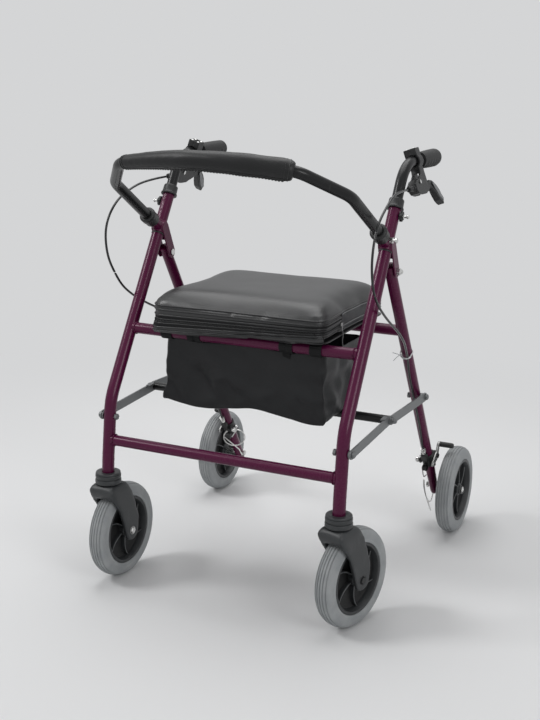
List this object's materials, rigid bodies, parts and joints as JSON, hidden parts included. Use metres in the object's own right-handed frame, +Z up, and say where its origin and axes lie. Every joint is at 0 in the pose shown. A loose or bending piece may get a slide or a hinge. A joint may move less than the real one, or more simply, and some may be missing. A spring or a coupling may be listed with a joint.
{
  "type": "four-wheel rollator",
  "caption": "Folding walking frame on swivel casters and braked rear wheels, with loop brakes, raised handles, flip-up padded seat, bag and padded backrest bow.",
  "frame": {"origin": "on the floor under the middle of the overall box", "axes": "+Z up, -Y towards the front casters, +Y towards the walking user, +X to the side of the right-hand grip as the user holds it"},
  "size_m": [0.6258, 0.7603, 0.8698],
  "materials": {
    "burgundy_paint": "glossy dark burgundy enamel",
    "black_plastic": "fine-grained black moulding",
    "black_paint": "satin black enamel",
    "grey_rubber": "light grey solid tyre",
    "hub_plastic": "dark grey moulding",
    "zinc_steel": "bright zinc plate",
    "grey_link": "dark grey coated steel",
    "black_vinyl": "black grained vinyl",
    "black_cloth": "black woven nylon",
    "black_foam": "soft black foam"
  },
  "bodies": {
    "front_frame": {"front_leg_left": "burgundy_paint", "front_leg_right": "burgundy_paint", "upright_left": "burgundy_paint", "upright_right": "burgundy_paint", "seat_front_rail": "burgundy_paint", "lower_cross_tube": "burgundy_paint", "handle_collar_left": "black_plastic", "handle_collar_right": "black_plastic", "backrest_collar_left": "black_plastic", "backrest_collar_right": "black_plastic", "backrest_bolt_left": "zinc_steel", "backrest_bolt_right": "zinc_steel", "hinge_bolt_left": "zinc_steel", "hinge_bolt_right": "zinc_steel", "caster_collar_left": "hub_plastic", "caster_collar_right": "hub_plastic", "bag": "black_cloth", "brake_cable_left": "black_plastic", "brake_cable_right": "black_plastic"},
    "seat": {"seat_cushion": "black_vinyl", "seat_base": "black_plastic"},
    "backrest": {"backrest_tube": "black_paint", "backrest_pad": "black_foam"},
    "rear_frame": {"rear_leg_left": "burgundy_paint", "rear_leg_right": "burgundy_paint", "rear_rail": "burgundy_paint", "rear_axle_left": "zinc_steel", "rear_axle_right": "zinc_steel", "brake_bracket_left": "black_plastic", "brake_bracket_right": "black_plastic"},
    "front_links": {"front_link_left": "grey_link", "front_link_right": "grey_link", "fold_crossbar": "black_paint"},
    "rear_links": {"rear_link_left": "grey_link", "rear_link_right": "grey_link"},
    "handle_left": {"handle_tube_left": "black_paint", "grip_left": "black_foam", "lever_bracket_left": "black_plastic"},
    "brake_lever_left": {"brake_lever_left": "black_plastic"},
    "brake_shoe_left": {"brake_shoe_left": "black_plastic"},
    "height_knob_left": {"height_knob_left": "black_plastic"},
    "caster_left": {"caster_fork_left": "hub_plastic", "caster_axle_left": "zinc_steel"},
    "caster_wheel_left": {"caster_tyre_left": "grey_rubber", "caster_hub_left": "hub_plastic"},
    "rear_wheel_left": {"rear_tyre_left": "grey_rubber", "rear_hub_left": "hub_plastic"},
    "handle_right": {"handle_tube_right": "black_paint", "grip_right": "black_foam", "lever_bracket_right": "black_plastic"},
    "brake_lever_right": {"brake_lever_right": "black_plastic"},
    "brake_shoe_right": {"brake_shoe_right": "black_plastic"},
    "height_knob_right": {"height_knob_right": "black_plastic"},
    "caster_right": {"caster_fork_right": "hub_plastic", "caster_axle_right": "zinc_steel"},
    "caster_wheel_right": {"caster_tyre_right": "grey_rubber", "caster_hub_right": "hub_plastic"},
    "rear_wheel_right": {"rear_tyre_right": "grey_rubber", "rear_hub_right": "hub_plastic"}
  },
  "joints": [
    {"name": "fold", "type": "hinge", "parent": "front_frame", "child": "rear_frame", "pos_m": [0, -0.0486, 0.6335], "axis": [-1, 0, 0], "range_deg": [0, 33.5], "deforming": ["bag", "brake_cable_left", "brake_cable_right"]},
    {"name": "front_links_swing", "type": "hinge", "parent": "front_frame", "child": "front_links", "pos_m": [0, -0.2696, 0.3398], "axis": [1, 0, 0], "range_deg": [0, 44.4], "deforming": ["bag"]},
    {"name": "rear_links_swing", "type": "hinge", "parent": "rear_frame", "child": "rear_links", "pos_m": [0, 0.13173, 0.34267], "axis": [-1, 0, 0], "range_deg": [0, 32.3]},
    {"name": "seat_flip", "type": "hinge", "parent": "front_frame", "child": "seat", "pos_m": [0, -0.18747, 0.501], "axis": [1, 0, 0], "range_deg": [0, 85]},
    {"name": "backrest_slide", "type": "slide", "parent": "front_frame", "child": "backrest", "axis": [0, -0.8533, 0.5215], "range_m": [0, 0.025]},
    {"name": "handle_height_left", "type": "slide", "parent": "front_frame", "child": "handle_left", "axis": [0, 0.5215, 0.8533], "range_m": [0, 0.15], "deforming": ["brake_cable_left"]},
    {"name": "height_knob_turn_left", "type": "hinge", "parent": "front_frame", "child": "height_knob_left", "pos_m": [-0.2449, -0.04334, 0.73685], "axis": [-1, 0, 0], "continuous": true},
    {"name": "brake_squeeze_left", "type": "hinge", "parent": "handle_left", "child": "brake_lever_left", "pos_m": [-0.25909, 0.038, 0.792], "axis": [0.9397, 0, -0.342], "range_deg": [0, 18.5], "stiffness_Nm_per_rad": 1.2, "springref_deg": -8.59},
    {"name": "brake_press_left", "type": "hinge", "parent": "rear_frame", "child": "brake_shoe_left", "pos_m": [-0.2449, 0.24602, 0.17903], "axis": [-1, 0, 0], "range_deg": [0, 28.2]},
    {"name": "caster_swivel_left", "type": "hinge", "parent": "front_frame", "child": "caster_left", "pos_m": [-0.2449, -0.2805, 0.2], "axis": [0, 0, 1], "continuous": true},
    {"name": "caster_roll_left", "type": "hinge", "parent": "caster_left", "child": "caster_wheel_left", "pos_m": [-0.24321, -0.23853, 0.095], "axis": [0.9992, -0.0401, 0], "continuous": true},
    {"name": "rear_roll_left", "type": "hinge", "parent": "rear_frame", "child": "rear_wheel_left", "pos_m": [-0.2924, 0.2853, 0.095], "axis": [1, 0, 0], "continuous": true},
    {"name": "handle_height_right", "type": "slide", "parent": "front_frame", "child": "handle_right", "axis": [0, 0.5215, 0.8533], "range_m": [0, 0.15], "deforming": ["brake_cable_right"]},
    {"name": "height_knob_turn_right", "type": "hinge", "parent": "front_frame", "child": "height_knob_right", "pos_m": [0.2449, -0.04334, 0.73685], "axis": [1, 0, 0], "continuous": true},
    {"name": "brake_squeeze_right", "type": "hinge", "parent": "handle_right", "child": "brake_lever_right", "pos_m": [0.25909, 0.038, 0.792], "axis": [0.9397, 0, 0.342], "range_deg": [0, 18.5], "stiffness_Nm_per_rad": 1.2, "springref_deg": -8.59},
    {"name": "brake_press_right", "type": "hinge", "parent": "rear_frame", "child": "brake_shoe_right", "pos_m": [0.2449, 0.24602, 0.17903], "axis": [-1, 0, 0], "range_deg": [0, 28.2]},
    {"name": "caster_swivel_right", "type": "hinge", "parent": "front_frame", "child": "caster_right", "pos_m": [0.2449, -0.2805, 0.2], "axis": [0, 0, 1], "continuous": true},
    {"name": "caster_roll_right", "type": "hinge", "parent": "caster_right", "child": "caster_wheel_right", "pos_m": [0.25577, -0.23993, 0.095], "axis": [0.9659, -0.2588, 0], "continuous": true},
    {"name": "rear_roll_right", "type": "hinge", "parent": "rear_frame", "child": "rear_wheel_right", "pos_m": [0.2924, 0.2853, 0.095], "axis": [1, 0, 0], "continuous": true}
  ],
  "couplings": [
    {"joint": "front_links_swing", "follows": "fold", "ratio": 1.324},
    {"joint": "rear_links_swing", "follows": "fold", "ratio": 0.96125},
    {"joint": "brake_press_left", "follows": "brake_squeeze_left", "ratio": 1.5216},
    {"joint": "brake_press_right", "follows": "brake_squeeze_right", "ratio": 1.5216}
  ]
}
